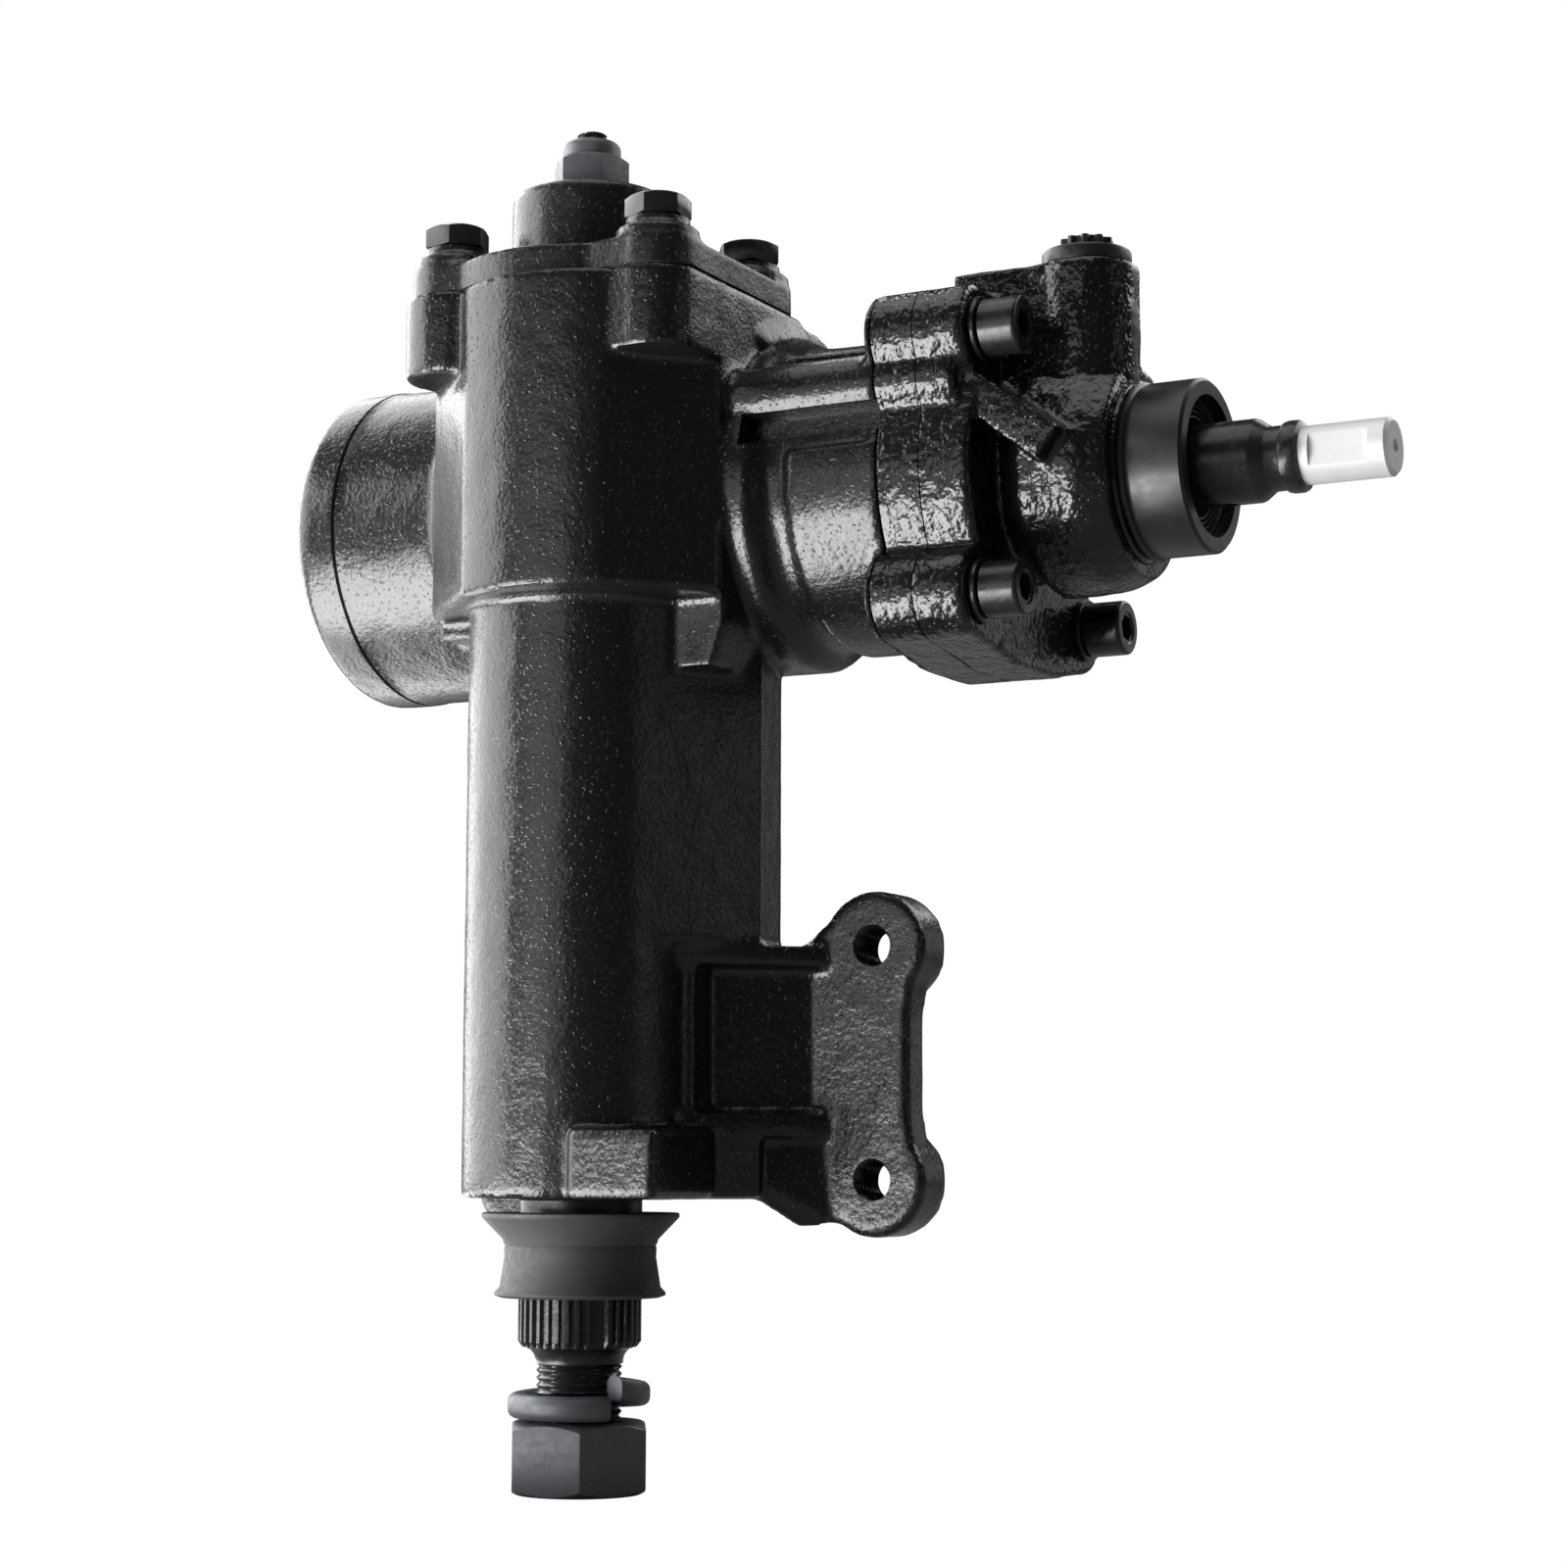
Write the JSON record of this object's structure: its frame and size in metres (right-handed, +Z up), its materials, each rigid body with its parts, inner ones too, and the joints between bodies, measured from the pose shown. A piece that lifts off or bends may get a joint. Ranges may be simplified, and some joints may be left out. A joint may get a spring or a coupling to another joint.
{
  "type": "power steering gearbox",
  "caption": "Black cast recirculating-ball steering gearbox with a long sector shaft, rail bracket, rotary valve and splined arm seat.",
  "frame": {"origin": "middle of the machined rear face that bolts to the chassis rail, centred between its four threaded holes", "axes": "+Z up along the sector shaft towards the side cover; +X along the worm towards the input shaft; +Y out of the rail face"},
  "size_m": [0.2998, 0.1201, 0.36],
  "materials": {
    "black_enamel": "gloss black paint over a sand casting",
    "cover_enamel": "satin black paint over a sand casting",
    "gasket": "pressed fibre sheet",
    "black_fastener": "smooth black paint on steel",
    "phosphate": "dark blue-grey phosphate",
    "bronze": "machined bronze",
    "shaft_enamel": "black paint on steel, bright machined input end",
    "bearing_steel": "ground steel, oiled",
    "seal_rubber": "moulded oil-seal rubber",
    "boot_rubber": "matt moulded rubber",
    "rack_iron": "machined cast iron",
    "ring_plastic": "filled sealing-ring plastic",
    "cap_plastic": "moulded black plastic"
  },
  "bodies": {
    "gear_case": {"housing": "black_enamel", "side_cover": "cover_enamel", "cover_gasket": "gasket", "cover_bolt_1": "black_fastener", "cover_bolt_2": "black_fastener", "cover_bolt_3": "black_fastener", "cover_bolt_4": "black_fastener", "adjuster_screw": "black_fastener", "adjuster_lock_nut": "phosphate", "cover_bush": "bronze", "upper_sector_bearing": "bearing_steel", "lower_sector_bearing": "bearing_steel", "sector_seal": "seal_rubber", "sector_seal_washer": "bearing_steel", "sector_seal_outer": "seal_rubber", "end_plug": "black_fastener", "end_plug_o_ring": "seal_rubber", "end_plug_snap_ring": "bearing_steel", "worm_bearing": "bearing_steel", "inner_thrust_bearing": "bearing_steel", "outer_thrust_bearing": "bearing_steel", "adapter_plate": "black_enamel", "valve_housing": "black_enamel", "valve_washer_1": "black_fastener", "valve_washer_2": "black_fastener", "valve_washer_3": "black_fastener", "valve_washer_4": "black_fastener", "valve_screw_1": "black_fastener", "valve_screw_2": "black_fastener", "valve_screw_3": "black_fastener", "valve_screw_4": "black_fastener", "pressure_port_cap": "cap_plastic", "return_port_cap": "cap_plastic", "input_bearing": "bearing_steel", "input_seal": "seal_rubber", "input_seal_ring": "black_fastener"},
    "sector": {"sector_shaft": "shaft_enamel", "dust_boot": "boot_rubber", "pitman_lock_washer": "phosphate", "pitman_nut": "phosphate"},
    "rack": {"rack_piston": "rack_iron", "piston_ring": "ring_plastic", "ball_circuit": "bearing_steel", "ball_return_guide": "bearing_steel"},
    "worm_and_sleeve": {"worm": "bearing_steel", "valve_sleeve": "bearing_steel", "valve_sleeve_ring_1": "ring_plastic", "valve_sleeve_ring_2": "ring_plastic", "valve_sleeve_ring_3": "ring_plastic", "valve_sleeve_ring_4": "ring_plastic", "torsion_bar": "bearing_steel"},
    "input": {"input_shaft": "shaft_enamel", "torsion_bar_pin": "bearing_steel"}
  },
  "joints": [
    {"name": "sector_turn", "type": "hinge", "parent": "gear_case", "child": "sector", "pos_m": [-0.0175, -0.0415, 0.1492], "axis": [0, 0, 1], "range_deg": [-40, 40]},
    {"name": "rack_slide", "type": "slide", "parent": "gear_case", "child": "rack", "axis": [1, 0, 0], "range_m": [-0.0119, 0.0119]},
    {"name": "worm_turn", "type": "hinge", "parent": "gear_case", "child": "worm_and_sleeve", "pos_m": [0.0325, -0.0065, 0.1492], "axis": [1, 0, 0], "range_deg": [-650, 650]},
    {"name": "valve_twist", "type": "hinge", "parent": "worm_and_sleeve", "child": "input", "pos_m": [0.1325, -0.0065, 0.1492], "axis": [1, 0, 0], "range_deg": [-4, 4], "stiffness_Nm_per_rad": 4}
  ],
  "couplings": [
    {"joint": "rack_slide", "follows": "sector_turn", "m_per_rad": -0.017},
    {"joint": "worm_turn", "follows": "sector_turn", "ratio": 16.184}
  ]
}
